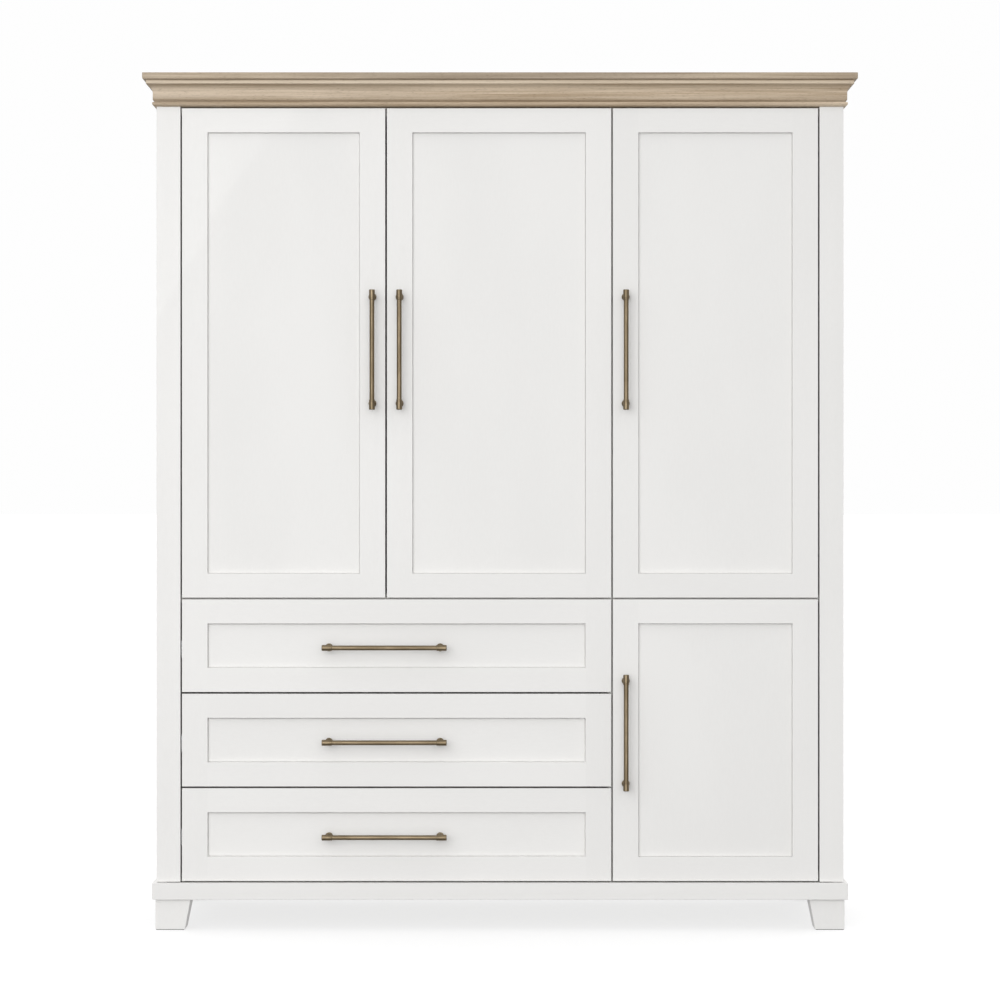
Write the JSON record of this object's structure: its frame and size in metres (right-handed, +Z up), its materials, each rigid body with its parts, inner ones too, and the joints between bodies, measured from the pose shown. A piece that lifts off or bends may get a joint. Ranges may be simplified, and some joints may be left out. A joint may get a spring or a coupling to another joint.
{
  "type": "armoire",
  "caption": "Painted armoire with framed doors, drawers and a cupboard on a plinth with tapered feet, under an oak cornice, with long bar pulls.",
  "frame": {"origin": "on the floor, at the middle of the overall width and depth", "axes": "+Z up, front towards -Y, +X to the right of someone who faces the doors"},
  "size_m": [1.524, 0.6184, 1.829],
  "materials": {
    "paint": "satin white paint over hardwood and board",
    "oak": "pale driftwood stain on oak, matt lacquer",
    "brass": "aged, burnished",
    "birch": "clear lacquer on birch",
    "steel": "bright zinc plate"
  },
  "bodies": {
    "case": {"front_left_foot": "paint", "rear_left_foot": "paint", "front_right_foot": "paint", "rear_right_foot": "paint", "plinth_frame": "paint", "left_end_frame": "paint", "left_end_panel": "paint", "left_lining": "paint", "right_end_frame": "paint", "right_end_panel": "paint", "right_lining": "paint", "bottom_board": "paint", "top_board": "paint", "centre_partition": "paint", "wardrobe_floor": "paint", "cupboard_divider": "paint", "back_panel": "paint", "upper_shelf_1": "paint", "upper_shelf_2": "paint", "lower_shelf": "paint", "hanging_rail": "steel", "crown_front": "oak", "crown_left": "oak", "crown_right": "oak", "cap_board": "oak", "top_drawer_runner_left": "steel", "top_drawer_runner_right": "steel", "middle_drawer_runner_left": "steel", "middle_drawer_runner_right": "steel", "bottom_drawer_runner_left": "steel", "bottom_drawer_runner_right": "steel", "wardrobe_left_door_hinge_low": "steel", "wardrobe_left_door_hinge_high": "steel", "wardrobe_right_door_hinge_low": "steel", "wardrobe_right_door_hinge_high": "steel", "upper_cupboard_door_hinge_low": "steel", "upper_cupboard_door_hinge_high": "steel", "lower_cupboard_door_hinge_low": "steel", "lower_cupboard_door_hinge_high": "steel"},
    "wardrobe_left_door": {"wardrobe_left_door_frame": "paint", "wardrobe_left_door_panel": "paint", "wardrobe_left_door_pull": "brass"},
    "wardrobe_right_door": {"wardrobe_right_door_frame": "paint", "wardrobe_right_door_panel": "paint", "wardrobe_right_door_pull": "brass"},
    "upper_cupboard_door": {"upper_cupboard_door_frame": "paint", "upper_cupboard_door_panel": "paint", "upper_cupboard_door_pull": "brass"},
    "lower_cupboard_door": {"lower_cupboard_door_frame": "paint", "lower_cupboard_door_panel": "paint", "lower_cupboard_door_pull": "brass"},
    "top_drawer": {"top_drawer_front": "paint", "top_drawer_box": "birch", "top_drawer_pull": "brass"},
    "middle_drawer": {"middle_drawer_front": "paint", "middle_drawer_box": "birch", "middle_drawer_pull": "brass"},
    "bottom_drawer": {"bottom_drawer_front": "paint", "bottom_drawer_box": "birch", "bottom_drawer_pull": "brass"}
  },
  "joints": [
    {"name": "wardrobe_left_hinge", "type": "hinge", "parent": "case", "child": "wardrobe_left_door", "pos_m": [-0.68, -0.27285, 1.23275], "axis": [0, 0, -1], "range_deg": [0, 105]},
    {"name": "wardrobe_right_hinge", "type": "hinge", "parent": "case", "child": "wardrobe_right_door", "pos_m": [0.238, -0.27285, 1.23275], "axis": [0, 0, 1], "range_deg": [0, 105]},
    {"name": "upper_cupboard_hinge", "type": "hinge", "parent": "case", "child": "upper_cupboard_door", "pos_m": [0.68, -0.27285, 1.23275], "axis": [0, 0, 1], "range_deg": [0, 105]},
    {"name": "lower_cupboard_hinge", "type": "hinge", "parent": "case", "child": "lower_cupboard_door", "pos_m": [0.68, -0.27285, 0.40525], "axis": [0, 0, 1], "range_deg": [0, 105]},
    {"name": "top_drawer_slide", "type": "slide", "parent": "case", "child": "top_drawer", "axis": [0, -1, 0], "range_m": [0, 0.4]},
    {"name": "middle_drawer_slide", "type": "slide", "parent": "case", "child": "middle_drawer", "axis": [0, -1, 0], "range_m": [0, 0.4]},
    {"name": "bottom_drawer_slide", "type": "slide", "parent": "case", "child": "bottom_drawer", "axis": [0, -1, 0], "range_m": [0, 0.4]}
  ]
}
